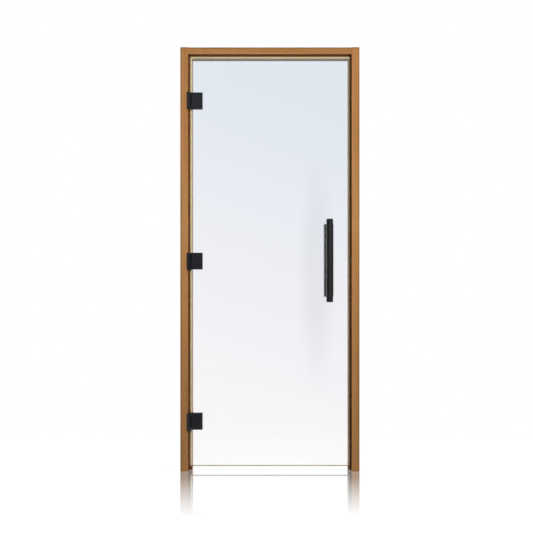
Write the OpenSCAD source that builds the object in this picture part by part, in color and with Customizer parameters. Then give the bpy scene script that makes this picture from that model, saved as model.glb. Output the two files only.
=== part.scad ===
// A framed glass sauna door: two solid wood jambs and a head with a rebate all round, one clear
// glass leaf hung on three black knuckle hinges, a tall bar handle and a roller catch.
// X runs from the hinge jamb's wall face to the latch jamb, -Y is the outside, Z = 0 is the floor.

/* [Frame] */
// Overall width over both jambs
frame_w = 800; // [700:5:1000]
// Overall height from the floor to the top of the head
frame_h = 1892; // [1800:2:2100]
// Depth of the frame through the wall
frame_d = 70; // [60:1:110]
// Width of a jamb's front face
jamb_face = 35; // [30:1:50]
// Height of the head's front face
head_face = 31; // [28:1:50]
// Step from the rebate's side to the edge of the stop
stop_lip = 14; // [12:1:20]
// Radius of the softened inner edges
edge_r = 2; // [1:0.5:4]
// Radius of the softened outer edges
outer_edge_r = 4; // [1:0.5:6]

/* [Wall screws] */
// Radius of the screw holes through the jambs
wall_screw_r = 3; // [2:0.5:4]
// Radius of their countersinks
wall_csk_r = 6; // [5:0.5:8]
// Number of screw holes in a jamb
wall_screw_count = 4; // [3:1:5]
// Distance of the outer screw holes from the frame's ends
wall_screw_end = 121; // [80:1:200]
// Distance of the screw holes from the frame's back face
wall_screw_inset = 22; // [14:1:30]

/* [Seal] */
// Width of the seal strip on the stop
seal_w = 8; // [7:0.5:9]
// Height of the seal's crown over the stop
seal_h = 3.7; // [3:0.1:5]
// Thickness of the seal's foot and hollow bulb
seal_wall = 0.9; // [0.7:0.1:1.1]
// Width of the kerf that holds the seal's root
kerf_w = 3; // [2:0.5:4]
// Depth of the kerf
kerf_d = 6; // [4:0.5:8]
// Air under the seal's root in its kerf
kerf_clear = 0.5; // [0.2:0.1:1]
// Air between the seal and the closed glass
seal_clear = 0.3; // [0.2:0.1:0.6]

/* [Glass] */
// Thickness of the toughened glass
glass_t = 8; // [6:1:10]
// Distance from the frame's front face back to the glass
glass_recess = 14; // [12:1:18]
// Gap between the glass and the hinge jamb
hinge_side_gap = 5; // [5:0.5:7]
// Gap between the glass and the latch jamb
latch_side_gap = 6; // [6:0.5:8]
// Gap between the glass and the head
top_gap = 5; // [5:0.5:8]
// Gap between the glass and the floor
floor_gap = 20; // [10:1:30]
// Radius of the ground corners of the pane
glass_corner_r = 3; // [1:0.5:6]

/* [Hinges] */
// Height of a hinge
hinge_h = 75; // [66:1:100]
// Height of the centre knuckle and its leaf
leaf_h = 47; // [40:1:52]
// Distance of the outer hinges' centres from the ends of the glass
hinge_inset = 202.5; // [120:2.5:300]
// Radius of the knuckles
knuckle_r = 7.5; // [7:0.5:8.5]
// Radius of the rounded outer ends of the knuckles
knuckle_end_r = 1.5; // [0.5:0.5:2.5]
// Air between the knuckles and the frame's front face
knuckle_clear = 1; // [1:0.5:3]
// Distance of the hinge pins from the hinge jamb's inner edge
pin_offset = 3.5; // [3:0.5:5]
// Radius of the hinge pins
pin_r = 4; // [3:0.5:4.5]
// Running clearance round a pin
pin_clear = 0.05; // [0.02:0.01:0.1]
// Air between the ends of two knuckles
knuckle_gap = 0.3; // [0.2:0.1:0.6]
// Thickness of the arms behind the line of their pin
arm_rear_t = 3; // [2:0.5:4]
// Thickness of the leaf let into the jamb
leaf_t = 3; // [2:0.5:4]
// Radius of the screw holes in that leaf
leaf_screw_r = 2.3; // [1.5:0.1:3]
// Depth of their countersinks
leaf_csk_h = 2.2; // [1:0.1:2.4]
// Distance of the leaf's screws from the centre of the hinge
leaf_screw_spread = 15; // [8:1:18]
// Width of the clamping plates
plate_w = 47; // [40:1:60]
// Thickness of the front plate
front_plate_t = 16; // [14:0.5:17]
// Thickness of the back plate
back_plate_t = 5; // [4:0.5:7]
// Gap between the centre knuckle and the front plate
plate_gap = 6; // [5:0.5:8]
// Distance of the front plate's rear tongue from the hinge jamb
tongue_clear = 7; // [6:0.5:9]
// Thickness of that tongue, behind the knuckles
tongue_t = 6; // [4:0.5:7]
// Bevel round the front plate
plate_bevel = 4.5; // [2:0.5:6]
// Bevel round the back plate
back_bevel = 1.5; // [0.5:0.5:2.5]
// Clear distance of the back plate from the stop
back_plate_clear = 5; // [5:0.5:8]
// How far the back plate's other edges stand inside the front plate's
back_plate_inset = 6; // [0:0.5:8]
// Thickness of the gaskets on the glass
gasket_t = 1; // [0.5:0.5:2]
// Margin of a gasket inside its plate
gasket_margin = 1; // [0.5:0.5:2]
// Distance of a clamp bolt from the centre of its hinge
bolt_spread = 22; // [16:1:26]
// Distance of the clamp bolts from the front plate's hinge edge
bolt_inset = 25; // [20:1:30]
// Radius of the clamp bolts
bolt_r = 3; // [2.5:0.5:4]
// Radius of a clamp bolt's countersunk head
bolt_head_r = 6; // [5:0.5:7]
// Distance over the corners of the sockets in the bolt heads
socket_w = 4.6; // [4:0.2:5]
// Depth of the sockets
socket_d = 2; // [1:0.2:2.4]
// Depth of a clamp bolt in the front plate
bolt_grip = 8; // [6:1:8]
// Radius of the holes in the glass for the clamp bolts
glass_bolt_hole_r = 7; // [6:0.5:9]

/* [Handle] */
// Height of the middle of the handle over the floor
handle_z = 941; // [850:1:1050]
// Distance of the handle from the latch edge of the glass
handle_inset = 94; // [80:1:130]
// Radius of the outer bar
bar_r = 15; // [12:0.5:18]
// Length of the outer bar
bar_len = 368; // [300:2:500]
// Rounding of the bar's ends
bar_end_r = 4; // [2:0.5:8]
// Distance from the glass to the middle of the outer bar
bar_standoff = 50; // [42:1:60]
// Distance between the two posts
post_spacing = 218; // [180:2:250]
// Radius of the posts
post_r = 8; // [6:0.5:10]
// Radius of the rosettes
rosette_r = 15; // [12:0.5:18]
// Thickness of the rosettes
rosette_t = 4; // [3:0.5:6]
// Edge bevel of the rosettes
rosette_bevel = 1; // [0.5:0.5:1.5]
// Thickness of the soft washers on the glass
washer_t = 1; // [0.5:0.5:2]
// Margin of a washer inside its rosette
washer_margin = 1; // [0.5:0.5:2]
// Width of the inner grip
grip_w = 44; // [36:1:50]
// Thickness of the inner grip
grip_t = 18; // [14:1:22]
// Length of the inner grip
grip_len = 330; // [280:2:460]
// Radius of the grip's rounded corners
grip_r = 5; // [3:0.5:6]
// Distance from the glass to the inner grip
grip_standoff = 30; // [26:1:40]
// Radius of the studs that tie the posts together
stud_r = 4; // [3:0.5:5]
// Depth of a stud in each post
stud_grip = 10; // [8:1:14]
// Radius of the holes in the glass for the studs
glass_stud_hole_r = 6; // [5:0.5:7]

/* [Catch] */
// Distance of the catch below the middle of the handle
catch_drop = 1; // [0:1:20]
// Height of the catch's case
catch_h = 31; // [26:1:40]
// Width of the catch's case through the rebate
catch_w = 16; // [12:1:16]
// Depth of the case in the jamb
catch_depth = 14; // [10:1:18]
// Radius of the roller
roller_r = 5; // [4:0.5:6]
// Length of the roller
roller_len = 11; // [8:1:14]
// Radius of the roller's pin
roller_pin_r = 1.5; // [1:0.5:2]
// Air round the roller in its case
roller_clear = 0.4; // [0.3:0.1:0.8]
// Air between the roller and the swinging edge of the glass
catch_clear = 0.3; // [0.2:0.1:0.6]
// How far the roller stands out past its lugs
roller_proud = 1; // [0.5:0.5:2]
// Height of the lugs that carry the roller's pin
lug_h = 5; // [4:0.5:6]

/* [Hidden] */
$fn = 48;
// How far a cutter runs past the face that it cuts
over = 1;
places = ["upper", "middle", "lower"];
sides = ["upper", "lower"];

// Planes through the depth of the door
front_y = -frame_d / 2;
back_y = frame_d / 2;
glass_front_y = front_y + glass_recess;
glass_back_y = glass_front_y + glass_t;
stop_y = glass_back_y + seal_clear + seal_h;

// The clear opening inside the frame
stop_x = jamb_face + stop_lip;
stop_z = frame_h - head_face - stop_lip;
rebate_z = frame_h - head_face;

// The glass leaf
glass_x0 = jamb_face + hinge_side_gap;
glass_x1 = frame_w - jamb_face - latch_side_gap;
glass_z0 = floor_gap;
glass_z1 = rebate_z - top_gap;
glass_mid_z = (glass_z0 + glass_z1) / 2;

// The hinges, upper, middle and lower
hinge_zs = [glass_z1 - hinge_inset, glass_mid_z, glass_z0 + hinge_inset];
pin_x = jamb_face + pin_offset;
pin_y = front_y - knuckle_clear - knuckle_r;
arm_step = 0.5;
pin_end_inset = 1;
outer_knuckle_h = (hinge_h - leaf_h) / 2 - knuckle_gap;
plate_x0 = pin_x + knuckle_r + plate_gap;
plate_x1 = plate_x0 + plate_w;
tongue_x0 = jamb_face + tongue_clear;
plate_back_y = glass_front_y - gasket_t;
plate_front_y = plate_back_y - front_plate_t;
back_plate_x0 = max(plate_x0, stop_x + back_plate_clear);
back_plate_x1 = plate_x1 - back_plate_inset;
back_plate_h = hinge_h - 2 * back_plate_inset;
back_plate_y0 = glass_back_y + gasket_t;
back_plate_y1 = back_plate_y0 + back_plate_t;
bolt_x = plate_x0 + bolt_inset;
leaf_screw_y = (front_y + stop_y) / 2;
bolt_head_h = bolt_head_r - bolt_r;

// The handle
handle_x = glass_x1 - handle_inset;
bar_y = glass_front_y - bar_standoff;
seat_margin = 0.2;
bar_seat_y = bar_y + sqrt(pow(bar_r, 2) - pow(post_r, 2)) - seat_margin;
post_zs = [handle_z + post_spacing / 2, handle_z - post_spacing / 2];
outer_post_y1 = glass_front_y - washer_t;
inner_post_y0 = glass_back_y + washer_t;
grip_y0 = glass_back_y + grip_standoff;

// The catch, with its roller just clear of the arc that the glass edge swings through
swing_r = norm([glass_x1 - pin_x, glass_back_y - pin_y]);
rebate_x1 = frame_w - jamb_face;
roller_y = (glass_front_y + glass_back_y) / 2;
roller_x = pin_x + swing_r + catch_clear + roller_r;
catch_z = handle_z - catch_drop;
wall_screw_pitch = (frame_h - 2 * wall_screw_end) / (wall_screw_count - 1);
wall_screw_zs = [for (i = [0 : wall_screw_count - 1]) wall_screw_end + i * wall_screw_pitch];
wall_screw_y = back_y - wall_screw_inset;
wall_csk_h = wall_csk_r - wall_screw_r;

// Seal profile across the strip: x from the stop's edge outwards, y from the stop towards the glass
bulb_w = seal_w - 1;
bulb_r = (pow(bulb_w / 2, 2) + pow(seal_h, 2)) / (2 * seal_h);

// What a rounding of radius r takes off a square corner whose solid lies towards +x and +y
module corner_waste(r) {
    difference() {
        translate([-over, -over]) square(r + over);
        translate([r, r]) circle(r);
    }
}

// A rectangle with all four corners rounded, from the origin
module rounded_rect(size, r) {
    difference() {
        square(size);
        corner_waste(r);
        translate([size[0], 0]) mirror([1, 0]) corner_waste(r);
        translate([0, size[1]]) mirror([0, 1]) corner_waste(r);
        translate(size) rotate(180) corner_waste(r);
    }
}

// A cylinder along +Y from the origin
module rod_y(r, len) {
    rotate([-90, 0, 0]) cylinder(r = r, h = len);
}

// A cylinder along +X from the origin
module rod_x(r, len) {
    rotate([0, 90, 0]) cylinder(r = r, h = len);
}

// A 45 degree countersink along +X, from a hole of radius r at the origin up to r + h
module sink_x(r, h) {
    rotate([0, 90, 0]) cylinder(r1 = r, r2 = r + h, h = h);
}

// A jamb's section: the front part, the stop behind the rebate and the softened edges
module jamb_section() {
    difference() {
        union() {
            translate([0, front_y]) square([jamb_face, frame_d]);
            translate([0, stop_y]) square([stop_x, back_y - stop_y]);
        }
        translate([0, front_y]) corner_waste(outer_edge_r);
        translate([jamb_face, front_y]) mirror([1, 0]) corner_waste(edge_r);
        translate([stop_x, stop_y]) mirror([1, 0]) corner_waste(edge_r / 2);
        translate([stop_x, back_y]) rotate(180) corner_waste(edge_r);
        translate([0, back_y]) mirror([0, 1]) corner_waste(edge_r);
        translate([stop_x - (seal_w + kerf_w) / 2, stop_y - over]) square([kerf_w, kerf_d + over]);
    }
}

// A jamb with its countersunk wall screw holes, standing at the origin
module jamb() {
    difference() {
        linear_extrude(frame_h) jamb_section();
        for (z = wall_screw_zs) {
            translate([-over, wall_screw_y, z]) rod_x(wall_screw_r, stop_x + 2 * over);
            translate([stop_x - wall_csk_h, wall_screw_y, z]) sink_x(wall_screw_r, wall_csk_h);
        }
    }
}

module hinge_jamb() {
    color("peru") difference() {
        jamb();
        for (z = hinge_zs) {
            translate([jamb_face - leaf_t, front_y - over, z - leaf_h / 2])
                cube([leaf_t + over, stop_y - front_y + over, leaf_h]);
        }
    }
}

module latch_jamb() {
    color("peru") difference() {
        translate([frame_w, 0, 0]) mirror([1, 0, 0]) jamb();
        translate([rebate_x1 - over, roller_y - catch_w / 2, catch_z - catch_h / 2])
            cube([catch_depth + over, catch_w, catch_h]);
    }
}

// The head is cut round the jambs' stops, so that its face fits between the jambs' faces
module head() {
    color("burlywood") difference() {
        union() {
            translate([jamb_face, front_y, rebate_z])
                cube([frame_w - 2 * jamb_face, stop_y - front_y, head_face]);
            translate([stop_x, stop_y, stop_z])
                cube([frame_w - 2 * stop_x, back_y - stop_y, frame_h - stop_z]);
        }
        translate([0, front_y, rebate_z]) rotate([90, 0, 90]) linear_extrude(frame_w) corner_waste(edge_r);
        translate([0, front_y, frame_h]) rotate([90, 0, 90]) linear_extrude(frame_w)
            mirror([0, 1]) corner_waste(outer_edge_r);
        translate([0, stop_y, stop_z]) rotate([90, 0, 90]) linear_extrude(frame_w) corner_waste(edge_r / 2);
        translate([0, back_y, stop_z]) rotate([90, 0, 90]) linear_extrude(frame_w)
            mirror([1, 0]) corner_waste(edge_r);
        translate([0, back_y, frame_h]) rotate([90, 0, 90]) linear_extrude(frame_w)
            rotate(180) corner_waste(edge_r);
        translate([0, stop_y - over, stop_z + (seal_w - kerf_w) / 2])
            cube([frame_w, kerf_d + over, kerf_w]);
    }
}

// The seal's face: a flat foot under a hollow half-round bulb
module seal_face_section() {
    difference() {
        union() {
            square([seal_w, seal_wall]);
            intersection() {
                translate([seal_w / 2, seal_h - bulb_r]) circle(bulb_r);
                translate([seal_w / 2 - bulb_w / 2, 0]) square([bulb_w, seal_h]);
            }
        }
        intersection() {
            translate([seal_w / 2, seal_h - bulb_r]) circle(bulb_r - seal_wall);
            translate([0, seal_wall]) square([seal_w, seal_h]);
        }
    }
}

// The face with the root that is pressed into the kerf
module seal_section() {
    seal_face_section();
    translate([(seal_w - kerf_w) / 2, kerf_clear - kerf_d]) square([kerf_w, kerf_d]);
}

// The strip down a jamb ends level with the foot of the glass
module side_seal() {
    translate([stop_x, stop_y, glass_z0]) linear_extrude(stop_z - glass_z0)
        rotate(180) seal_section();
}

module hinge_side_seal() {
    color("wheat") side_seal();
}

module latch_side_seal() {
    color("wheat") translate([frame_w, 0, 0]) mirror([1, 0, 0]) side_seal();
}

// A quarter turn of the seal's face round the corner of the opening
module seal_corner() {
    translate([stop_x, stop_y, stop_z]) rotate([90, 0, 0]) rotate([0, 0, 90])
        rotate_extrude(angle = 90) seal_face_section();
}

module head_seal() {
    color("wheat") {
        translate([stop_x, stop_y, stop_z]) rotate([90, 0, 90]) linear_extrude(frame_w - 2 * stop_x)
            rotate(90) seal_section();
        seal_corner();
        translate([frame_w, 0, 0]) mirror([1, 0, 0]) seal_corner();
    }
}

// A knuckle on the pin's axis with one rounded end, from its seat at z = 0 upwards
module outer_knuckle() {
    rotate_extrude() difference() {
        square([knuckle_r, outer_knuckle_h]);
        translate([knuckle_r, outer_knuckle_h]) rotate(180) corner_waste(knuckle_end_r);
    }
}

// An arm runs back from an outer knuckle at 45 degrees and joins the plate and its tongue
module hinge_arm_section() {
    front_off = (knuckle_r - arm_step) / sqrt(2);
    rear_off = arm_rear_t / sqrt(2);
    foot_x = pin_x + front_off + plate_front_y - (pin_y - front_off);
    polygon([
        [pin_x + front_off, pin_y - front_off],
        [foot_x, plate_front_y],
        [foot_x, plate_back_y],
        [tongue_x0, plate_back_y],
        [tongue_x0, pin_y + rear_off + tongue_x0 - (pin_x - rear_off)],
        [pin_x - rear_off, pin_y + rear_off]
    ]);
}

module frame_leaf(z) {
    color("black") difference() {
        union() {
            translate([pin_x, pin_y, z - leaf_h / 2]) cylinder(r = knuckle_r, h = leaf_h);
            translate([jamb_face - leaf_t, pin_y, z - leaf_h / 2])
                cube([leaf_t, stop_y - pin_y, leaf_h]);
        }
        translate([pin_x, pin_y, z - leaf_h]) cylinder(r = pin_r, h = 2 * leaf_h);
        for (s = [-1, 1]) {
            translate([jamb_face - leaf_t - over, leaf_screw_y, z + s * leaf_screw_spread])
                rod_x(leaf_screw_r, leaf_t + 2 * over);
            translate([jamb_face - leaf_csk_h, leaf_screw_y, z + s * leaf_screw_spread])
                sink_x(leaf_screw_r, leaf_csk_h);
        }
    }
}

module hinge_pin(z) {
    color("dimgray") translate([pin_x, pin_y, z - hinge_h / 2 + pin_end_inset])
        cylinder(r = pin_r, h = hinge_h - 2 * pin_end_inset);
}

// A clamping plate's blank with all its front edges bevelled, its flat side on y = 0, towards -y
module bevelled_plate(w, h, t, bevel) {
    intersection() {
        translate([0, 0, -h / 2]) linear_extrude(h)
            polygon([[0, 0], [w, 0], [w, -t + bevel], [w - bevel, -t], [0, -t]]);
        rotate([90, 0, 90]) linear_extrude(w)
            polygon([[0, -h / 2], [0, h / 2], [-t + bevel, h / 2], [-t, h / 2 - bevel],
                [-t, -h / 2 + bevel], [-t + bevel, -h / 2]]);
    }
}

module front_plate(z) {
    color("black") translate([0, 0, z]) difference() {
        union() {
            translate([plate_x0, plate_back_y, 0])
                bevelled_plate(plate_w, hinge_h, front_plate_t, plate_bevel);
            translate([tongue_x0, plate_back_y - tongue_t, -hinge_h / 2])
                cube([plate_x0 - tongue_x0 + over, tongue_t, hinge_h]);
            for (m = [0, 1]) {
                mirror([0, 0, m]) {
                    translate([pin_x, pin_y, leaf_h / 2 + knuckle_gap]) outer_knuckle();
                    translate([0, 0, leaf_h / 2 + knuckle_gap])
                        linear_extrude(outer_knuckle_h - knuckle_end_r) hinge_arm_section();
                }
            }
        }
        translate([pin_x, pin_y, -hinge_h]) cylinder(r = pin_r + pin_clear, h = 2 * hinge_h);
        for (s = [-1, 1]) {
            translate([bolt_x, plate_back_y - bolt_grip, s * bolt_spread]) rod_y(bolt_r, bolt_grip + over);
        }
    }
}

module back_plate(z) {
    color("black") difference() {
        translate([back_plate_x1, back_plate_y0, z]) rotate([0, 0, 180])
            bevelled_plate(back_plate_x1 - back_plate_x0, back_plate_h, back_plate_t, back_bevel);
        for (s = [-1, 1]) {
            translate([bolt_x, back_plate_y0 - over, z + s * bolt_spread])
                rod_y(bolt_r, back_plate_t + 2 * over);
            translate([bolt_x, back_plate_y1 - bolt_head_h, z + s * bolt_spread]) rotate([-90, 0, 0])
                cylinder(r1 = bolt_r, r2 = bolt_head_r, h = bolt_head_h);
        }
    }
}

// A gasket under a plate that reaches from x0 to x1 and is h high
module gasket(y0, x0, x1, h, z) {
    difference() {
        translate([x0 + gasket_margin, y0, z - h / 2 + gasket_margin])
            cube([x1 - x0 - 2 * gasket_margin, gasket_t, h - 2 * gasket_margin]);
        for (s = [-1, 1]) {
            translate([bolt_x, y0 - over, z + s * bolt_spread]) rod_y(bolt_r, gasket_t + 2 * over);
        }
    }
}

module hinge_gaskets(z) {
    color("gray") {
        gasket(plate_back_y, tongue_x0, plate_x1, hinge_h, z);
        gasket(glass_back_y, back_plate_x0, back_plate_x1, back_plate_h, z);
    }
}

// Countersunk socket screws, put in from the inside of the room
module clamp_bolts(z) {
    bolt_y0 = plate_back_y - bolt_grip;
    color("dimgray") for (s = [-1, 1]) {
        translate([bolt_x, 0, z + s * bolt_spread]) difference() {
            union() {
                translate([0, bolt_y0, 0]) rod_y(bolt_r, back_plate_y1 - bolt_y0);
                translate([0, back_plate_y1 - bolt_head_h, 0]) rotate([-90, 0, 0])
                    cylinder(r1 = bolt_r, r2 = bolt_head_r, h = bolt_head_h);
            }
            translate([0, back_plate_y1 - socket_d, 0]) rotate([-90, 0, 0])
                cylinder(r = socket_w / 2, h = socket_d + over, $fn = 6);
        }
    }
}

module catch_case() {
    recess_r = roller_r + roller_clear;
    color("black") translate([0, roller_y, catch_z]) difference() {
        union() {
            translate([rebate_x1, -catch_w / 2, -catch_h / 2]) cube([catch_depth, catch_w, catch_h]);
            for (m = [0, 1]) {
                mirror([0, 0, m]) translate([roller_x, 0, roller_len / 2 + roller_clear])
                    cylinder(r = roller_r - roller_proud, h = lug_h);
            }
        }
        translate([roller_x, 0, -roller_len / 2 - roller_clear])
            cylinder(r = recess_r, h = roller_len + 2 * roller_clear);
        translate([roller_x, 0, -roller_len / 2 - lug_h])
            cylinder(r = roller_pin_r, h = roller_len + 2 * lug_h);
    }
}

module catch_roller() {
    color("silver") translate([roller_x, roller_y, catch_z - roller_len / 2]) difference() {
        cylinder(r = roller_r, h = roller_len);
        translate([0, 0, -over]) cylinder(r = roller_pin_r + pin_clear, h = roller_len + 2 * over);
    }
}

module catch_pin() {
    color("dimgray") translate([roller_x, roller_y, catch_z - roller_len / 2 - lug_h])
        cylinder(r = roller_pin_r, h = roller_len + 2 * lug_h);
}

module glass_pane() {
    color("lightsteelblue") difference() {
        translate([glass_x0, glass_back_y, glass_z0]) rotate([90, 0, 0]) linear_extrude(glass_t)
            rounded_rect([glass_x1 - glass_x0, glass_z1 - glass_z0], glass_corner_r);
        for (z = hinge_zs) {
            for (s = [-1, 1]) {
                translate([bolt_x, glass_front_y - over, z + s * bolt_spread])
                    rod_y(glass_bolt_hole_r, glass_t + 2 * over);
            }
        }
        for (z = post_zs) {
            translate([handle_x, glass_front_y - over, z]) rod_y(glass_stud_hole_r, glass_t + 2 * over);
        }
    }
}

// The round bar has a flat, spot-faced seat for each post
module outer_handle_bar() {
    color("dimgray") translate([handle_x, 0, 0]) difference() {
        translate([0, bar_y, handle_z - bar_len / 2]) rotate_extrude() difference() {
            square([bar_r, bar_len]);
            translate([bar_r, bar_len]) rotate(180) corner_waste(bar_end_r);
            translate([bar_r, 0]) mirror([1, 0]) corner_waste(bar_end_r);
        }
        for (z = post_zs) {
            translate([0, bar_seat_y, z]) rod_y(post_r, bar_r);
        }
    }
}

module outer_post(z) {
    color("dimgray") translate([handle_x, 0, z]) difference() {
        translate([0, bar_seat_y, 0]) rod_y(post_r, outer_post_y1 - bar_seat_y);
        translate([0, outer_post_y1 - stud_grip, 0]) rod_y(stud_r, stud_grip + over);
    }
}

module inner_post(z) {
    color("dimgray") translate([handle_x, 0, z]) difference() {
        translate([0, inner_post_y0, 0]) rod_y(post_r, grip_y0 - inner_post_y0);
        translate([0, inner_post_y0 - over, 0]) rod_y(stud_r, stud_grip + over);
    }
}

// A ring round a post, its flat side on y = 0 and its bevelled edge towards +y
module rosette() {
    rotate([-90, 0, 0]) rotate_extrude() polygon([
        [post_r, 0], [rosette_r, 0], [rosette_r, rosette_t - rosette_bevel],
        [rosette_r - rosette_bevel, rosette_t], [post_r, rosette_t]
    ]);
}

module outer_rosettes() {
    color("black") for (z = post_zs) {
        translate([handle_x, outer_post_y1, z]) mirror([0, 1, 0]) rosette();
    }
}

module inner_rosettes() {
    color("black") for (z = post_zs) {
        translate([handle_x, inner_post_y0, z]) rosette();
    }
}

module handle_washers() {
    color("gray") for (z = post_zs) {
        for (y = [outer_post_y1, glass_back_y]) {
            translate([handle_x, y, z]) difference() {
                rod_y(rosette_r - washer_margin, washer_t);
                translate([0, -over, 0]) rod_y(stud_r, washer_t + 2 * over);
            }
        }
    }
}

module handle_studs() {
    stud_y0 = outer_post_y1 - stud_grip;
    color("silver") for (z = post_zs) {
        translate([handle_x, stud_y0, z]) rod_y(stud_r, inner_post_y0 + stud_grip - stud_y0);
    }
}

module inner_grip() {
    color("black") intersection() {
        translate([handle_x - grip_w / 2, grip_y0, handle_z - grip_len / 2])
            linear_extrude(grip_len) rounded_rect([grip_w, grip_t], grip_r);
        translate([handle_x - grip_w / 2, grip_y0 + grip_t, handle_z - grip_len / 2])
            rotate([90, 0, 0]) linear_extrude(grip_t) rounded_rect([grip_w, grip_len], grip_r);
    }
}

hinge_jamb();
latch_jamb();
head();
hinge_side_seal();
latch_side_seal();
head_seal();
for (i = [0 : len(places) - 1]) {
    frame_leaf(hinge_zs[i]);
    hinge_pin(hinge_zs[i]);
    front_plate(hinge_zs[i]);
    back_plate(hinge_zs[i]);
    hinge_gaskets(hinge_zs[i]);
    clamp_bolts(hinge_zs[i]);
}
catch_case();
catch_roller();
catch_pin();
glass_pane();
outer_handle_bar();
inner_grip();
for (i = [0 : len(sides) - 1]) {
    outer_post(post_zs[i]);
    inner_post(post_zs[i]);
}
outer_rosettes();
inner_rosettes();
handle_washers();
handle_studs();
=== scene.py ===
# %% [markdown]
# # A framed glass sauna door
# The CAD model gives every solid of this door its true size and place: two wooden jambs and a
# head, a cream seal, one pane of glass, three black clamp hinges, a bar handle and a small roller
# catch. This lesson loads it, sets up the studio, adds the screws and makes the
# finishes.

# %% Load the frame
import math

import bpy
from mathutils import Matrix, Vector


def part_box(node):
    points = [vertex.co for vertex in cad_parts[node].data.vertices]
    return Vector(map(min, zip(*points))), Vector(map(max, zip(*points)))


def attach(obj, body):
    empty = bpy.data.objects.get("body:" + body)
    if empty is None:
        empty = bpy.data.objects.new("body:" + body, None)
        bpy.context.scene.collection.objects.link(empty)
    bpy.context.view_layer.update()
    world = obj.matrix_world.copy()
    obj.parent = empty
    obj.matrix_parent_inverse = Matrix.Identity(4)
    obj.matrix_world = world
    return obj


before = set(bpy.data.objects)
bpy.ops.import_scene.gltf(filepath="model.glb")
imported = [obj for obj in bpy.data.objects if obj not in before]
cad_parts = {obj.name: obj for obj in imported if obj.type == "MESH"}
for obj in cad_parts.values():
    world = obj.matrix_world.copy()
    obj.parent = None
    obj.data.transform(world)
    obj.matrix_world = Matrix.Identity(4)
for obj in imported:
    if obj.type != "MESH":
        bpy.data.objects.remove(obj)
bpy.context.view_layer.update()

# %% [markdown]
# ## The camera
# A product photographer stands well back from a door, at half its height, so that its uprights
# stay upright. Turning the camera would make them lean, so the lens looks straight along +Y, and a
# small shift slides the picture sideways, as a shift lens does.

# %% Camera
shot = bpy.data.cameras.new("door camera")
shot.lens, shot.sensor_width = 50, 36
shot.shift_x, shot.shift_y = -0.0441, -0.0135
camera = bpy.data.objects.new("door camera", shot)
camera.location = (0.4897, -3.337, 0.946)
camera.rotation_euler = (math.radians(90), 0, 0)
bpy.context.collection.objects.link(camera)
bpy.context.scene.camera = camera
bpy.context.scene.view_settings.view_transform = "Standard"
print("camera stands", round(-camera.location.y, 2), "m in front of the door")

# %% [markdown]
# ## Helpers for node trees
# Every finish below is a small tree of nodes. The first helper adds a node, sets what its sockets
# hold and links what they are fed with, so that each line of a recipe reads as one step. The
# others are short names for the sums and masks that come back in every tree.

# %% Node helper
def add(tree, kind, at=None, out=0, **settings):
    """Adds a node, sets its options, and fills its inputs from the dictionary `at`."""
    node = tree.nodes.new("ShaderNode" + kind)
    for name, value in settings.items():
        setattr(node, name, value)
    for key, value in (at or {}).items():
        socket = node.inputs[key]
        if isinstance(value, bpy.types.NodeSocket):
            tree.links.new(value, socket)
        else:
            socket.default_value = value
    return node.outputs[out] if node.outputs else None


def maths(tree, operation, a, b=0.0, clamp=False):
    """One Math node."""
    return add(tree, "Math", {0: a, 1: b}, operation=operation, use_clamp=clamp)


def times(tree, a, b):
    """The product of two values."""
    return maths(tree, "MULTIPLY", a, b)


def plus(tree, a, b):
    """The sum of two values."""
    return maths(tree, "ADD", a, b)


def highest(tree, a, b):
    """The larger of two values."""
    return maths(tree, "MAXIMUM", a, b)


def apart(tree, value, middle):
    """How far a value lies from a middle, on either side."""
    return maths(tree, "ABSOLUTE", maths(tree, "SUBTRACT", value, middle))


def far(tree, a, b):
    """The length of the line from (0, 0) to (a, b)."""
    return maths(tree, "SQRT", plus(tree, times(tree, a, a), times(tree, b, b)))


def parts_of(tree, vector):
    """The three numbers of a vector."""
    node = tree.nodes.new("ShaderNodeSeparateXYZ")
    tree.links.new(vector, node.inputs[0])
    return node.outputs


def place_on(tree):
    """The Object coordinates of a point, in metres."""
    return add(tree, "TexCoord", out=3)


def fade(tree, value, low, high, bottom=0.0, top=1.0):
    """A soft step: bottom below low, top above high."""
    return add(tree, "MapRange", {"Value": value, "From Min": low, "From Max": high,
                                  "To Min": bottom, "To Max": top}, interpolation_type="SMOOTHSTEP")


def blend(tree, mask, a, b, how="MIX"):
    """One Mix node for colours."""
    node = tree.nodes.new("ShaderNodeMix")
    node.data_type, node.blend_type = "RGBA", how
    for socket, value in ((node.inputs[0], mask), (node.inputs[6], a), (node.inputs[7], b)):
        if isinstance(value, bpy.types.NodeSocket):
            tree.links.new(value, socket)
        else:
            socket.default_value = value if isinstance(value, float) else (*value, 1)
    return node.outputs[2]


print("helpers: add, maths, times, plus, highest, apart, far, parts_of, place_on, fade, blend")

# %% [markdown]
# ## The studio round the door
# A white studio is a room of soft light, and real lamps and boards could build it. The world
# stands for it here, because it can answer each kind of ray by itself. The lens sees plain white.
# Glass looks through to a backdrop that darkens to a cool grey towards the ceiling and has one
# faint smoky patch behind the handle. Gloss sees the white backdrop behind the door and a softer
# front. Light that has already met a matt face gets a low grey, so that the rebate stays as dark
# as it is.

# %% World
studio = bpy.data.worlds.new("white studio")
studio.use_nodes = True
bpy.context.scene.world = studio
w = studio.node_tree
w.nodes.clear()
side, depth, height = parts_of(w, add(w, "TexCoord", out=0))

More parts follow.
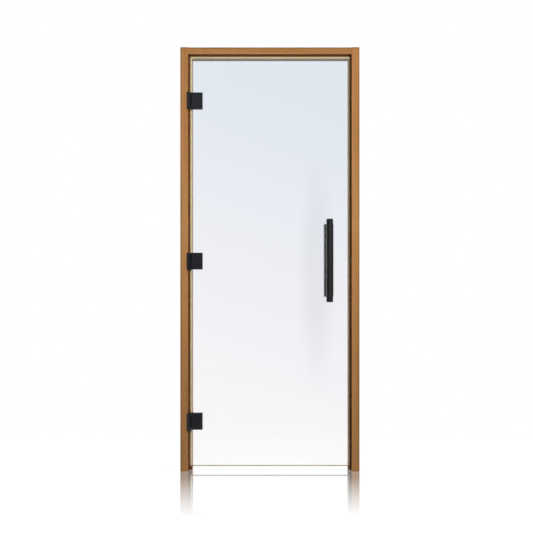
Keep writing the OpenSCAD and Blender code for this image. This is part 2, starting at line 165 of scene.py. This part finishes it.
# The backdrop's tone falls off towards the ceiling, and a little towards the right. Values of a
# direction are shares of 1, so that a height of 1 is straight up
glass_side, lean, backdrop_end = 0.0946, 0.333, 0.27
ceiling = plus(w, height, times(w, plus(w, side, glass_side), lean))
backdrop = w.nodes.new("ShaderNodeValToRGB")
w.links.new(fade(w, ceiling, -backdrop_end, backdrop_end), backdrop.inputs[0])
backdrop.inputs[0].links[0].from_node.interpolation_type = "LINEAR"
tones = [(0.02, (0.985, 0.953, 0.962)), (0.98, (0.742, 0.796, 0.862)),
         (0.17, (0.978, 0.945, 0.955)), (0.37, (0.90, 0.895, 0.945)),
         (0.57, (0.858, 0.868, 0.91)), (0.77, (0.795, 0.828, 0.902))]
ramp = backdrop.color_ramp
ramp.elements[0].position, ramp.elements[1].position = tones[0][0], tones[1][0]
ramp.elements[0].color, ramp.elements[1].color = (*tones[0][1], 1), (*tones[1][1], 1)
for place, tone in tones[2:]:
    ramp.elements.new(place).color = (*tone, 1)

# The smoky patch is a tall soft ellipse
patch_side, patch_drop, patch_half_w, patch_half_h = 0.0365, 0.0177, 0.030, 0.185
smoke_share, smoke_tone = 0.14, (0.30, 0.31, 0.33)
across = maths(w, "DIVIDE", maths(w, "SUBTRACT", side, patch_side), patch_half_w)
along = maths(w, "DIVIDE", plus(w, height, patch_drop), patch_half_h)
smoke = times(w, fade(w, far(w, across, along), 1.0, 0.25),
              maths(w, "GREATER_THAN", depth, 0.0))
smoky = blend(w, times(w, smoke, smoke_share), backdrop.outputs[0], smoke_tone)

# What gloss sees: white behind the door, a soft front light with one bright strip to its right, dim
# sides, a lit ceiling and a white band that the floor mirrors from any side
behind = fade(w, depth, 0.72, 0.92)
front_glow, strip_glow, ceiling_glow, dimmest = 0.72, 1.5, 0.5, 0.06
front = times(w, fade(w, times(w, depth, -1.0), 0.72, 0.97, 0.0, front_glow),
              fade(w, height, -0.30, 0.25, 0.25, 1.0))
front = times(w, front, fade(w, side, -0.45, -0.18, 0.15, 1.0))
above = fade(w, height, 0.55, 0.95, 0.0, ceiling_glow)
strip = times(w, fade(w, side, 0.45, 0.58), fade(w, side, 0.82, 0.70))
strip = times(w, strip, fade(w, depth, -0.35, -0.55, 0.0, strip_glow))
gloss = highest(w, highest(w, behind, above), plus(w, front, dimmest))
band = times(w, fade(w, height, 0.18, 0.27), fade(w, height, 0.65, 0.50))
gloss = highest(w, highest(w, gloss, strip), band)
gloss_tone = add(w, "CombineColor", {0: gloss, 1: gloss, 2: gloss})

ray = w.nodes.new("ShaderNodeLightPath").outputs
plain_look = maths(w, "LESS_THAN", ray["Glossy Depth"], 0.5)
lit = maths(w, "GREATER_THAN", ray["Diffuse Depth"], 0.5)
clear_way = times(w, ray["Is Transmission Ray"], maths(w, "SUBTRACT", 1.0, lit))
pure_white, dim_grey = (1.0, 1.0, 1.0), (0.18, 0.18, 0.18)
room = blend(w, ray["Is Glossy Ray"], dim_grey, gloss_tone)
room = blend(w, clear_way, room, pure_white)
room = blend(w, times(w, clear_way, plain_look), room, smoky)
room = blend(w, ray["Is Camera Ray"], room, pure_white)
glow = add(w, "Background", {"Color": room, "Strength": 1.0})
add(w, "OutputWorld", {"Surface": glow})
print("world made of", len(w.nodes), "nodes")

# %% [markdown]
# ## Lamps
# The wood in the photograph is brightest near the top and falls off towards the floor, so the main
# soft box hangs high in front and tilts down. A faint one from the right front softens the
# shadows. Three more light what the photograph doesn't show: one behind for the inner side, and
# one at each side for the frame's edges. Neither the lens nor the glass sees any of them.

# %% Lamps
def soft_box(name, place, aim, size, watts):
    lamp = bpy.data.lights.new(name, "AREA")
    lamp.shape, lamp.energy = "RECTANGLE", watts
    lamp.size, lamp.size_y = size
    holder = bpy.data.objects.new(name, lamp)
    holder.location = place
    holder.rotation_euler = (Vector(aim) - Vector(place)).to_track_quat("-Z", "Y").to_euler()
    holder.visible_camera = holder.visible_glossy = holder.visible_transmission = False
    bpy.context.collection.objects.link(holder)
    print(name, "gives", watts, "W")


soft_box("front soft box", (0.60, -2.3, 1.75), (0.42, 0, 1.35), (0.9, 0.9), 61)
soft_box("side soft box", (2.5, -2.0, 1.7), (0.4, 0, 1.3), (0.8, 1.0), 9)
soft_box("back soft box", (0.2, 2.8, 2.2), (0.4, 0, 1.0), (1.8, 1.4), 40)
soft_box("left soft box", (-2.6, 0.6, 1.5), (0, 0, 1.0), (0.9, 1.5), 34)
soft_box("right soft box", (3.4, 0.6, 1.5), (0.8, 0, 1.0), (0.9, 1.5), 34)

# %% [markdown]
# ## The floor
# The door stands on a glossy white sheet that mirrors its feet, and the mirror image fades towards
# the lens. One plane does both: a dim matt surface that keeps the shadows, with enough glow to
# reach white, mixed with a clear gloss whose share drops to nothing two thirds of a metre in front
# of the door, and from steeply above, where a real sheet mirrors least. Seen through the glass the
# sheet is a little warmer, and far away it gives way to the backdrop.

# %% Floor
for thing in bpy.context.selected_objects:
    thing.select_set(False)
door_middle, floor_middle, floor_drop = 0.4, -1.2, 0.0005
floor_w, floor_d = 5.0, 3.6
bpy.ops.mesh.primitive_plane_add(size=1, location=(door_middle, floor_middle, -floor_drop))
floor = bpy.context.object
floor.name = "white floor"
floor.scale = (floor_w, floor_d, 1)
bpy.ops.object.transform_apply(location=True, rotation=True, scale=True)

sheet = bpy.data.materials.new("white glossy floor")
sheet.use_nodes = True
f = sheet.node_tree
f.nodes.clear()
x, y, _ = parts_of(f, place_on(f))
sideways = apart(f, x, door_middle)
away = far(f, sideways, y)

# The share of the mirror: full at the door's feet, none far in front, behind, beside or from above
mirror_share, mirror_end, mirror_full = 0.82, -0.65, -0.13
near = add(f, "MapRange", {"Value": y, "From Min": mirror_end, "From Max": mirror_full,
                            "To Min": 0.0, "To Max": mirror_share})
near = times(f, near, fade(f, y, 0.10, 0.02))
near = times(f, near, fade(f, sideways, 0.95, 0.60))
slant = add(f, "LayerWeight", {"Blend": 0.5}, out=1)
near = times(f, near, fade(f, slant, 0.32, 0.55))

# The glow: for the lens, through the glass, and in gloss only close to the door
light = f.nodes.new("ShaderNodeLightPath").outputs
mirrored = times(f, light["Is Glossy Ray"], fade(f, y, -1.0, -0.35, 0.05, 1.0))
direct = plus(f, light["Is Camera Ray"], light["Is Transmission Ray"])
seen = maths(f, "ADD", direct, mirrored, clamp=True)
strength = times(f, seen, fade(f, away, 0.7, 2.2, 0.85, 1.0))
tint = blend(f, light["Is Transmission Ray"], pure_white, (0.93, 0.895, 0.905))
white = add(f, "Emission", {"Color": tint, "Strength": strength})
matt = add(f, "BsdfDiffuse", {"Color": (0.2, 0.2, 0.2, 1)})
ground = add(f, "AddShader", {0: matt, 1: white})

sheen = add(f, "BsdfGlossy", {"Color": (1, 1, 1, 1), "Roughness": 0.03})
laid = add(f, "MixShader", {0: near, 1: ground, 2: sheen})
gone = times(f, light["Is Transmission Ray"], fade(f, away, 0.45, 1.1))
clear = add(f, "BsdfTransparent")
add(f, "OutputMaterial", {"Surface": add(f, "MixShader", {0: gone, 1: laid, 2: clear})})
floor.data.materials.append(sheet)
floor_ends = [round(floor_middle + way * floor_d / 2, 2) for way in (-1, 1)]
print("floor reaches from", floor_ends[0], "to", floor_ends[1], "m in depth")

# %% [markdown]
# ## Groups that several finishes share
# Some effects belong to more than one finish: the timber's figure is on the jambs and on the head,
# and the fine bumps of sprayed powder are on the hinges, the handle and the screws. Each is built
# once as a node group with named sockets, and every finish gives it its own numbers.

# %% Group helpers
def effect(name, takes, gives):
    """Starts a shader node group and returns it with its input and output sockets."""
    group = bpy.data.node_groups.new(name, "ShaderNodeTree")
    new_socket, new_node = group.interface.new_socket, group.nodes.new
    for label, kind, value in takes:
        socket = new_socket(name=label, in_out="INPUT", socket_type="NodeSocket" + kind)
        if value is not None:
            socket.default_value = value
    for label, kind in gives:
        new_socket(name=label, in_out="OUTPUT", socket_type="NodeSocket" + kind)
    return group, new_node("NodeGroupInput").outputs, new_node("NodeGroupOutput").inputs


def use(tree, group, **values):
    """Places a group in a finish. An underscore in a name stands for a space."""
    node = tree.nodes.new("ShaderNodeGroup")
    node.node_tree = group
    for key, value in values.items():
        socket = node.inputs[key.replace("_", " ")]
        if isinstance(value, bpy.types.NodeSocket):
            tree.links.new(value, socket)
        else:
            socket.default_value = value
    return node.outputs


def speckle(tree, where, scale, detail=2.0, rough=0.5):
    """Noise whose scale counts bumps a metre along each axis."""
    stretched = add(tree, "VectorMath", {0: where, 1: scale}, operation="MULTIPLY")
    return add(tree, "TexNoise", {"Vector": stretched, "Scale": 1.0, "Detail": detail,
                                  "Roughness": rough})


print("helpers: effect, use, speckle")

# %% [markdown]
# ## The timber's figure
# A board is sawn from a log, so its lines are the log's growth rings. The figure is therefore made
# in three dimensions: rings round a heart line that stands beside the board and leans a little,
# bent by slow noise. The faces then show long, slightly wandering lines, and the ends show arcs
# that meet them. Over the rings lie broad tone changes, fine fibres and short dark pores, all
# drawn out along the grain.

# %% Timber group
timber, took, gave = effect(
    "timber figure",
    [("Grain", "Vector", None), ("Early wood", "Color", (0.42, 0.21, 0.080, 1)),
     ("Late wood", "Color", (0.30, 0.14, 0.047, 1)), ("Ring width", "Float", 0.0036)],
    [("Colour", "Color"), ("Roughness", "Float"), ("Height", "Float")])
grain = took["Grain"]
slow = add(timber, "VectorMath", {0: grain, 1: (7, 7, 1.1)}, operation="MULTIPLY")
wander = add(timber, "TexNoise", {"Vector": slow, "Scale": 1.0, "Detail": 2.0}, out=1)
bend = add(timber, "VectorMath", {0: wander, 1: (0.022, 0.022, 0)}, operation="MULTIPLY")
x, y, _ = parts_of(timber, add(timber, "VectorMath", {0: grain, 1: bend}, operation="ADD"))
ring = maths(timber, "FRACT", maths(timber, "DIVIDE", far(timber, x, y), took["Ring width"]))
late = times(timber, fade(timber, ring, 0.35, 0.90), fade(timber, ring, 1.0, 0.93))
broad = fade(timber, speckle(timber, grain, (26, 26, 1.2), 2.0), 0.32, 0.68)
streak = fade(timber, speckle(timber, grain, (230, 230, 4.5), 3.0), 0.30, 0.70)
fibre = speckle(timber, grain, (1500, 1500, 34), 2.0, 0.6)
pore = fade(timber, speckle(timber, grain, (1000, 1000, 55), 1.0), 0.64, 0.72)
late_share, broad_share, streak_share, fibre_share, pore_share = 0.44, 0.30, 0.32, 0.16, 0.60
fine = plus(timber, times(timber, streak, streak_share),
             times(timber, fibre, fibre_share))
uneven = plus(timber, times(timber, broad, broad_share), fine)
dark = maths(timber, "ADD", times(timber, late, late_share), uneven, clamp=True)
wood = blend(timber, dark, took["Early wood"], took["Late wood"])
pore_tone = (0.16, 0.065, 0.022)
wood = blend(timber, times(timber, pore, pore_share), wood, pore_tone)
timber.links.new(wood, gave["Colour"])
timber.links.new(fade(timber, fibre, 0.2, 0.8, 0.36, 0.50), gave["Roughness"])
timber.links.new(maths(timber, "SUBTRACT", times(timber, fibre, 0.5),
                       plus(timber, pore, times(timber, late, 0.25))),
                 gave["Height"])
print("timber figure:", len(timber.nodes), "nodes")

# %% [markdown]
# ## Sprayed and moulded skins
# Powder that melts on hot metal flows out into a skin with tiny soft bumps, like orange peel. A
# moulded plastic has a finer, sharper grain from its mould. One group serves both, with the size
# of the bumps as an input, and it also puts out a slight unevenness of colour and gloss.

# %% Skin group
skin, took, gave = effect(
    "fine skin",
    [("Place", "Vector", None), ("Bumps a metre", "Float", 900.0),
     ("Colour", "Color", (0.02, 0.02, 0.02, 1)), ("Pale colour", "Color", (0.03, 0.03, 0.03, 1)),
     ("Gloss low", "Float", 0.38), ("Gloss high", "Float", 0.5)],
    [("Colour", "Color"), ("Roughness", "Float"), ("Height", "Float")])
peel = add(skin, "TexNoise", {"Vector": took["Place"], "Scale": took["Bumps a metre"],
                              "Detail": 2.0})
cloud = speckle(skin, took["Place"], (38, 38, 22), 3.0)
peel_share = 0.45
mottle = plus(skin, times(skin, peel, peel_share),
               times(skin, cloud, 1.0 - peel_share))
skin.links.new(blend(skin, fade(skin, mottle, 0.38, 0.66), took["Colour"], took["Pale colour"]),
               gave["Colour"])
skin.links.new(add(skin, "MapRange", {"Value": cloud, "From Min": 0.3, "From Max": 0.7,
                                      "To Min": took["Gloss low"], "To Max": took["Gloss high"]}),
               gave["Roughness"])
skin.links.new(peel, gave["Height"])
print("fine skin:", len(skin.nodes), "nodes")

# %% [markdown]
# ## A start for every finish
# Each finish is one Principled shader. What is the same all over is typed into its sockets, and
# what changes over the surface comes from the groups. The small bumps enter through one Bump node.

# %% Finish helper
def finish(name, **sockets):
    """A new material with one Principled shader, whose sockets get the given values."""
    made = bpy.data.materials.new(name)
    made.use_nodes = True
    shader = made.node_tree.nodes["Principled BSDF"]
    for key, value in sockets.items():
        shader.inputs[key.replace("_", " ")].default_value = value
    return made, made.node_tree, shader.inputs


def bumps(tree, height, strength, depth):
    """Turns a height into a bent normal. The depth is in metres."""
    return add(tree, "Bump", {"Height": height, "Strength": strength, "Distance": depth})


def feed(tree, sockets, colour=None, rough=None, normal=None):
    for key, value in (("Base Color", colour), ("Roughness", rough), ("Normal", normal)):
        if value is not None:
            tree.links.new(value, sockets[key])


def wear(material, *nodes):
    """Gives a finish to CAD nodes, through their material slots."""
    for name in nodes:
        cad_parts[name].data.materials[0] = material
    print(material.name, "on", ", ".join(nodes))


# %% [markdown]
# ## Oiled wood on the frame
# The frame is a reddish brown hardwood, sanded and oiled, with a straight, quiet grain. On the
# jambs the grain runs up, and on the head it runs across, so the head's finish turns the pattern
# first. The heart line stands beside the board, so that the growth rings cross it as long, gentle
# lines. The rebate gets painted shade: its wood is darkened and reddened where jamb and head shade
# it, darkest beside the latch. The outer front edges get painted shade too, where their rounding
# turns away from the light.

# %% Wood
# Painted shade for the outer front edges, where their rounding turns away from the light
edge_shade_tone = (0.66, 0.58, 0.48)


def sawn_wood(name, turn, heart, inward, rebate_shade_tone, early, late):
    """Wood with its grain turned, with painted shade in the rebate and along the outer front edges.
    """
    made, t, sockets = finish(name, IOR=1.5, Specular_IOR_Level=0.22)
    here = place_on(t)
    placed = add(t, "Mapping", {"Vector": here, "Location": heart, "Rotation": turn})
    grown = use(t, timber, Grain=placed, Early_wood=(*early, 1), Late_wood=(*late, 1))
    across, depth, up = parts_of(t, here)
    inside = inward(t, across, up)
    deep = times(t, fade(t, depth, -0.0345, -0.026),
                 fade(t, depth, -0.0075, -0.0085))
    # Painted shade in the rebate: its faces are multiplied by the rebate's shade tone
    oiled = times(t, inside, deep)
    colour = blend(t, oiled, grown["Colour"], rebate_shade_tone, "MULTIPLY")
    # Painted shade along the outer front edges, the head's top front edge included
    outer = highest(t, fade(t, apart(t, across, door_middle), 0.391, 0.399),
                    fade(t, up, 1.883, 1.891))
    outer = times(t, outer, fade(t, depth, -0.028, -0.033))
    colour = blend(t, outer, colour, edge_shade_tone, "MULTIPLY")
    feed(t, sockets, colour, grown["Roughness"], bumps(t, grown["Height"], 0.35, 0.0003))
    return made


def between_jambs(tree, across, up):
    """1 on the side of a jamb that faces the opening."""
    return fade(tree, apart(tree, across, door_middle), 0.3656, 0.3652)


def under_head(tree, across, up):
    """1 on the underside of the head."""
    return fade(tree, up, 1.8616, 1.8612)


pale_board = ((0.445, 0.228, 0.084), (0.27, 0.118, 0.034))
# The head's boards are a darker copy of the same wood: painted shade that tones down the light the
# head catches
shaded_head_board = ((0.385, 0.194, 0.070), (0.235, 0.104, 0.030))
# The sixth item of each board is the tone of its painted rebate shade, darkest beside the latch
boards = (("oiled wood upright", "hinge_jamb", (0.006, 0.004, 0), (0.09, -0.06, 0),
           between_jambs, (0.33, 0.150, 0.050), pale_board),
          ("oiled wood latch side", "latch_jamb", (-0.005, 0.006, 0), (-0.71, -0.08, 0.4),
           between_jambs, (0.10, 0.031, 0.004), pale_board),
          ("oiled wood across", "head", (0.004, math.radians(90), 0), (-1.80, 0.07, 0),
           under_head, (0.54, 0.35, 0.17), shaded_head_board))
for name, node, turn, heart, inward, rebate_shade_tone, tones in boards:
    wear(sawn_wood(name, turn, heart, inward, rebate_shade_tone, *tones), node)

# %% [markdown]
# ## The silicone seal
# The seal is a soft cream strip with a hollow bulb, drawn through a die, so it has faint lines
# along its length. A little light passes through it, which a small share of subsurface scattering
# gives. On the latch side it gets its own, much darker tones of the same finish: painted shade,
# where the latch jamb shades the seal.

# %% Seal
def silicone(name, clean, dull):
    """A soft strip with faint lines and dust."""
    made, t, sockets = finish(name, Subsurface_Weight=0.15, Subsurface_Scale=0.002,
                              Subsurface_Radius=(1.0, 0.8, 0.5), IOR=1.42)
    here = place_on(t)
    pulled = speckle(t, here, (900, 900, 900), 2.0)
    dusty = fade(t, speckle(t, here, (60, 60, 30), 3.0), 0.35, 0.7)
    feed(t, sockets, blend(t, dusty, clean, dull), fade(t, pulled, 0.2, 0.8, 0.45, 0.62),
         bumps(t, pulled, 0.2, 0.0002))
    return made


cream = silicone("cream silicone", (0.60, 0.48, 0.24), (0.52, 0.41, 0.20))
# The latch side's darker copy is painted shade, not a different rubber
seal_painted_shade = silicone("cream silicone rubbed", (0.20, 0.145, 0.025), (0.16, 0.115, 0.02))
wear(cream, "hinge_side_seal", "head_seal")
wear(seal_painted_shade, "latch_side_seal")

# %% [markdown]
# ## Clear toughened glass
# Clear float glass is nearly colourless through its faces and greenish along its edges, where one
# looks through more of it. The edge and the narrow arris beside it are ground, so they are duller.
# The normal finds the edge, and the distance from the outline finds the arris, which shows as an
# olive line along the door's outline. Light that only casts shadows passes straight through.

# %% Glass
pane, t, sockets = finish("clear toughened glass", Transmission_Weight=1.0, IOR=1.5)
# The emission is painted light: a faint glow on the narrow edge only
sockets["Emission Strength"].default_value = 1.0
low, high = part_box("glass_pane")
centre, half, rim = (low + high) / 2, (high - low) / 2, 0.0034
face_tone, arris_tone, edge_tone = (0.992, 0.997, 0.996), (0.34, 0.28, 0.17), (0.80, 0.93, 0.87)
painted_edge_glow = (0.055, 0.075, 0.066)

# The narrow edge is where the normal leaves the door's depth. The arris is close to the outline
narrow = maths(t, "LESS_THAN", maths(t, "ABSOLUTE", parts_of(t, add(t, "TexCoord", out=1))[1]), 0.5)
across, _, up = parts_of(t, place_on(t))
beside = maths(t, "SUBTRACT", apart(t, across, centre.x), half.x - rim)
below = maths(t, "SUBTRACT", apart(t, up, centre.z), half.z - rim)
arris = maths(t, "GREATER_THAN", highest(t, beside, below), 0.0)

# Both are ground, the edge more than the arris, and the edge gets a faint painted glow, standing
# for light carried inside the glass
ground = speckle(t, place_on(t), (700, 700, 700), 2.0)
dull = times(t, arris, fade(t, ground, 0.3, 0.7, 0.10, 0.22))
duller = times(t, narrow, fade(t, ground, 0.3, 0.7, 0.45, 0.60))
tone = blend(t, narrow, blend(t, arris, face_tone, arris_tone), edge_tone)
feed(t, sockets, tone, highest(t, dull, duller))
t.links.new(blend(t, narrow, (0.0, 0.0, 0.0), painted_edge_glow), sockets["Emission Color"])

ray = t.nodes.new("ShaderNodeLightPath").outputs
clear = add(t, "BsdfTransparent", {"Color": (0.95, 0.96, 0.96, 1)})
solid = t.nodes["Principled BSDF"].outputs[0]
through = add(t, "MixShader", {0: ray["Is Shadow Ray"], 1: solid, 2: clear})
t.links.new(through, t.nodes["Material Output"].inputs["Surface"])
wear(pane, "glass_pane")

# %% [markdown]
# ## Black powder coat
# Hinges and handle are sprayed with satin black powder. The hinges are cast, so their skin is
# slightly coarser than the drawn tube of the handle. The grip inside is a warm charcoal composite
# that stays cool to the touch, fully matt, with a fine moulded grain.

# %% Black finishes
def coated(name, tones, count, gloss, strength=0.25, **sockets):
    """A skin with its dark and pale tone, bumps a metre, lowest and highest roughness."""
    made, t, into = finish(name, **sockets)
    (dark, pale), (low, high) = tones, gloss
    laid = use(t, skin, Place=place_on(t), Bumps_a_metre=float(count),
               Colour=(*dark, 1), Pale_colour=(*pale, 1), Gloss_low=low, Gloss_high=high)
    normal = bumps(t, laid["Height"], strength, skin_depth)
    feed(t, into, laid["Colour"], laid["Roughness"], normal)
    return made


levels, skin_depth = ("upper", "middle", "lower"), 0.0002
hinge_black = coated("black powder on hinges", ((0.0055, 0.006, 0.0085), (0.010, 0.011, 0.014)),
                     850, (0.30, 0.42), Specular_IOR_Level=0.32)
bar_black = coated("black powder on handle", ((0.009, 0.009, 0.010), (0.014, 0.014, 0.015)),
                   1100, (0.16, 0.26), Specular_IOR_Level=0.36)
charcoal = coated("charcoal grip", ((0.052, 0.052, 0.053), (0.075, 0.075, 0.077)),
                  1500, (0.55, 0.70), 0.4)
wear(hinge_black, *(f"{at}_hinge_{part}" for at in levels
                    for part in ("frame_leaf", "front_plate", "back_plate")))
wear(bar_black, "outer_handle_bar", "upper_outer_post", "lower_outer_post", "upper_inner_post",
     "lower_inner_post", "outer_rosettes", "inner_rosettes")
wear(charcoal, "inner_grip")

# %% [markdown]
# ## Steel, gaskets and the catch
# Turned steel has fine rings round its length, which noise gives when it is squeezed along that
# length. The pins and screws are blackened, the studs in the glass are bare. Gaskets are a dull
# fibre rubber with pale flecks, and the catch is two moulded plastics.

# %% Small finishes
def turned(name, tones, squeeze, gloss):
    """Steel with rings round its length, which `squeeze` gives in bumps a metre along X, Y, Z."""
    made, t, into = finish(name, Metallic=1.0)
    rings = speckle(t, place_on(t), squeeze, 2.0)
    bloom = speckle(t, place_on(t), (240, 240, 240), 3.0)
    both = plus(t, times(t, rings, 0.5), times(t, bloom, 0.5))
    feed(t, into, blend(t, fade(t, both, 0.35, 0.65), *tones), fade(t, both, 0.3, 0.7, *gloss),
         bumps(t, rings, 0.2, 0.0001))
    return made


black_steel = ((0.045, 0.045, 0.05), (0.085, 0.085, 0.09))
bare_steel = ((0.42, 0.42, 0.43), (0.54, 0.54, 0.55))
along_x, along_y, along_z = (3200, 60, 60), (60, 3200, 60), (60, 60, 3200)
black_pins = turned("blackened steel pins", black_steel, along_z, (0.34, 0.46))
black_bolts = turned("blackened steel screws", black_steel, along_y, (0.34, 0.46))
bare_studs = turned("bare steel studs", bare_steel, along_y, (0.26, 0.38))
bare_pin = turned("bare steel pin", bare_steel, along_z, (0.26, 0.38))
gasket = coated("dark fibre gasket", ((0.018, 0.018, 0.018), (0.05, 0.05, 0.048)),
                2200, (0.75, 0.9), 0.5)
nylon = coated("dark grey nylon", ((0.045, 0.045, 0.044), (0.065, 0.065, 0.063)),
               1600, (0.40, 0.52), 0.15)
case_black = coated("black moulded case", ((0.014, 0.014, 0.014), (0.022, 0.022, 0.022)),
                    1900, (0.50, 0.62), 0.3)
wear(black_pins, *(f"{at}_hinge_pin" for at in levels))
wear(black_bolts, *(f"{at}_hinge_clamp_bolts" for at in levels))
wear(gasket, "handle_washers", *(f"{at}_hinge_gaskets" for at in levels))
wear(bare_studs, "handle_studs")
wear(bare_pin, "catch_pin")
wear(nylon, "catch_roller")
wear(case_black, "catch_case")

# %% [markdown]
# ## The screws
# Countersunk screws hold the hinge leaves in the jamb, and two tiny ones hold the catch. A screw
# is a turned shape, so it starts as a thin disc whose underside is pulled down three times: to the
# neck of the cone, down the shank and to the point. The cross in its head is cut by a second
# shape, a small block whose four sides are pulled out and whose lower end is made narrower, as a
# real driver's tip is.

# %% One screw
def choose_faces(piece, wanted):
    """Opens a piece in edit mode with only the wanted faces selected."""
    bpy.ops.object.mode_set(mode="EDIT")
    bpy.ops.mesh.select_mode(type="FACE")
    bpy.ops.mesh.select_all(action="DESELECT")
    bpy.ops.object.mode_set(mode="OBJECT")
    for face in piece.data.polygons:
        face.select = wanted(face)
    bpy.ops.object.mode_set(mode="EDIT")


def pull_down(length, narrower, end):
    """Extrudes the selected underside down to the height `end` and makes it narrower there."""
    bpy.ops.mesh.extrude_region_move(TRANSFORM_OT_translate={"value": (0, 0, -length)})
    bpy.ops.transform.resize(value=(narrower, narrower, 1), center_override=(0, 0, end))


head_r, rim_t, cone_t, shank_r = 0.0044, 0.0002, 0.0020, 0.0021
shank_len, tip_len, tip_share = 0.012, 0.004, 0.12
neck_z = -rim_t - cone_t
tip_z = neck_z - shank_len
bpy.ops.object.select_all(action="DESELECT")
bpy.ops.mesh.primitive_cylinder_add(vertices=32, radius=head_r, depth=rim_t,
                                    location=(0, 0, -rim_t / 2))
pattern = bpy.context.object
bpy.ops.object.transform_apply(location=True, rotation=True, scale=True)
choose_faces(pattern, lambda face: face.normal.z < -0.9)
pull_down(cone_t, shank_r / head_r, neck_z)
pull_down(shank_len, 1.0, tip_z)
pull_down(tip_len, tip_share, tip_z - tip_len)
bpy.ops.object.mode_set(mode="OBJECT")
print("screw length in mm:", round(pattern.dimensions.z * 1000, 1))

# %% The cross in its head
arm_w, arm_reach, cross_d, end_share = 0.0011, 0.0019, 0.0017, 0.45
bpy.ops.object.select_all(action="DESELECT")
bpy.ops.mesh.primitive_cube_add(size=1, location=(0, 0, 0))
driver = bpy.context.object
driver.scale = (arm_w, arm_w, 2 * cross_d)
bpy.ops.object.transform_apply(location=True, rotation=True, scale=True)
choose_faces(driver, lambda face: abs(face.normal.z) < 0.1)
bpy.ops.mesh.extrude_faces_move(TRANSFORM_OT_shrink_fatten={"value": arm_reach})
choose_faces(driver, lambda face: face.normal.z < -0.9)
bpy.ops.transform.resize(value=(end_share, end_share, 1), center_override=(0, 0, -cross_d))
bpy.ops.object.mode_set(mode="OBJECT")

bpy.ops.object.select_all(action="DESELECT")
bpy.context.view_layer.objects.active = pattern
pattern.select_set(True)
cut = pattern.modifiers.new("cross", "BOOLEAN")
cut.operation, cut.solver, cut.object = "DIFFERENCE", "EXACT", driver
bpy.ops.object.modifier_apply(modifier="cross")
soft = pattern.modifiers.new("soft edges", "BEVEL")
soft.width, soft.segments = 0.0001, 2
soft.limit_method, soft.angle_limit = "ANGLE", math.radians(35)
bpy.ops.object.modifier_apply(modifier="soft edges")
bpy.ops.object.shade_smooth_by_angle(angle=math.radians(30))
bpy.data.objects.remove(driver)
print("faces in one screw:", len(pattern.data.polygons))

# %% [markdown]
# Each copy gets its own mesh and its own turn, because nobody lines up the crosses by hand. The
# copy is turned and moved as an object, and applying that puts its place in its mesh.

# %% All screws
def drive(name, place, tilt, turn, size):
    """Puts a screw at a place, tipped over by `tilt` and turned round its length by `turn`."""
    piece = bpy.data.objects.new(name, pattern.data.copy())
    bpy.context.collection.objects.link(piece)
    piece.rotation_mode = "ZYX"
    piece.location, piece.scale = place, (size, size, size)
    piece.rotation_euler = (0, math.radians(tilt), math.radians(turn))
    bpy.ops.object.select_all(action="DESELECT")
    piece.select_set(True)
    bpy.context.view_layer.objects.active = piece
    bpy.ops.object.transform_apply(location=True, rotation=True, scale=True)
    piece.rotation_mode = "XYZ"
    piece.data.materials.clear()
    piece.data.materials.append(wood_screws)
    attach(piece, "frame")


wood_screws = turned("blackened wood screws", black_steel, along_x, (0.30, 0.42))
pair = (("upper", 1), ("lower", -1))
leaf_face, leaf_screw_y, leaf_spread, sunk = 0.035, -0.022, 0.015, 0.0001
leaf_turns = {"upper": (12, 71), "middle": (38, 55), "lower": (24, 83)}
for at in levels:
    low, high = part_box(f"{at}_hinge_frame_leaf")
    for (end, way), turn in zip(pair, leaf_turns[at]):
        place = (leaf_face - sunk, leaf_screw_y, (low.z + high.z) / 2 + way * leaf_spread)
        drive(f"{at}_leaf_{end}_screw", place, 90, turn, 1.0)
low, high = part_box("catch_case")
catch_face, catch_spread, proud, catch_size = 0.765, 0.0133, 0.0003, 0.37
for (end, way), turn in zip(pair, (70, -10)):
    place = (catch_face - proud, (low.y + high.y) / 2, (low.z + high.z) / 2 + way * catch_spread)
    drive(f"catch_{end}_screw", place, -90, turn, catch_size)
bpy.data.objects.remove(pattern)
print("screws made:", len(pair) * (len(levels) + 1))

# %% Update the scene
bpy.context.view_layer.update()
